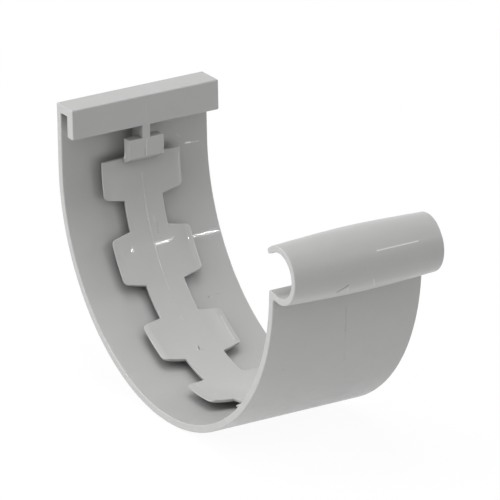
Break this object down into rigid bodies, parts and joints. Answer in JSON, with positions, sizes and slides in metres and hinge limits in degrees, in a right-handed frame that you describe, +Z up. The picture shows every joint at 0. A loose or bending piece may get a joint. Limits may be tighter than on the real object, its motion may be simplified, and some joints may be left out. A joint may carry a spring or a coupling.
{
  "type": "gutter union",
  "caption": "One-piece PVC union that clips over the meeting ends of two half-round gutters, with a back clip, front bead hook and inner winged strip.",
  "frame": {"origin": "on the axis of the half-round trough, midway along the union", "axes": "+X across the gutter from the wall side to the front bead, +Y along the gutter, +Z up as fitted"},
  "size_m": [0.1326, 0.049, 0.0797],
  "materials": {
    "grey_pvc": "semi-gloss moulded grey PVC"
  },
  "bodies": {
    "root": {"gutter_union": "grey_pvc"}
  },
  "joints": []
}
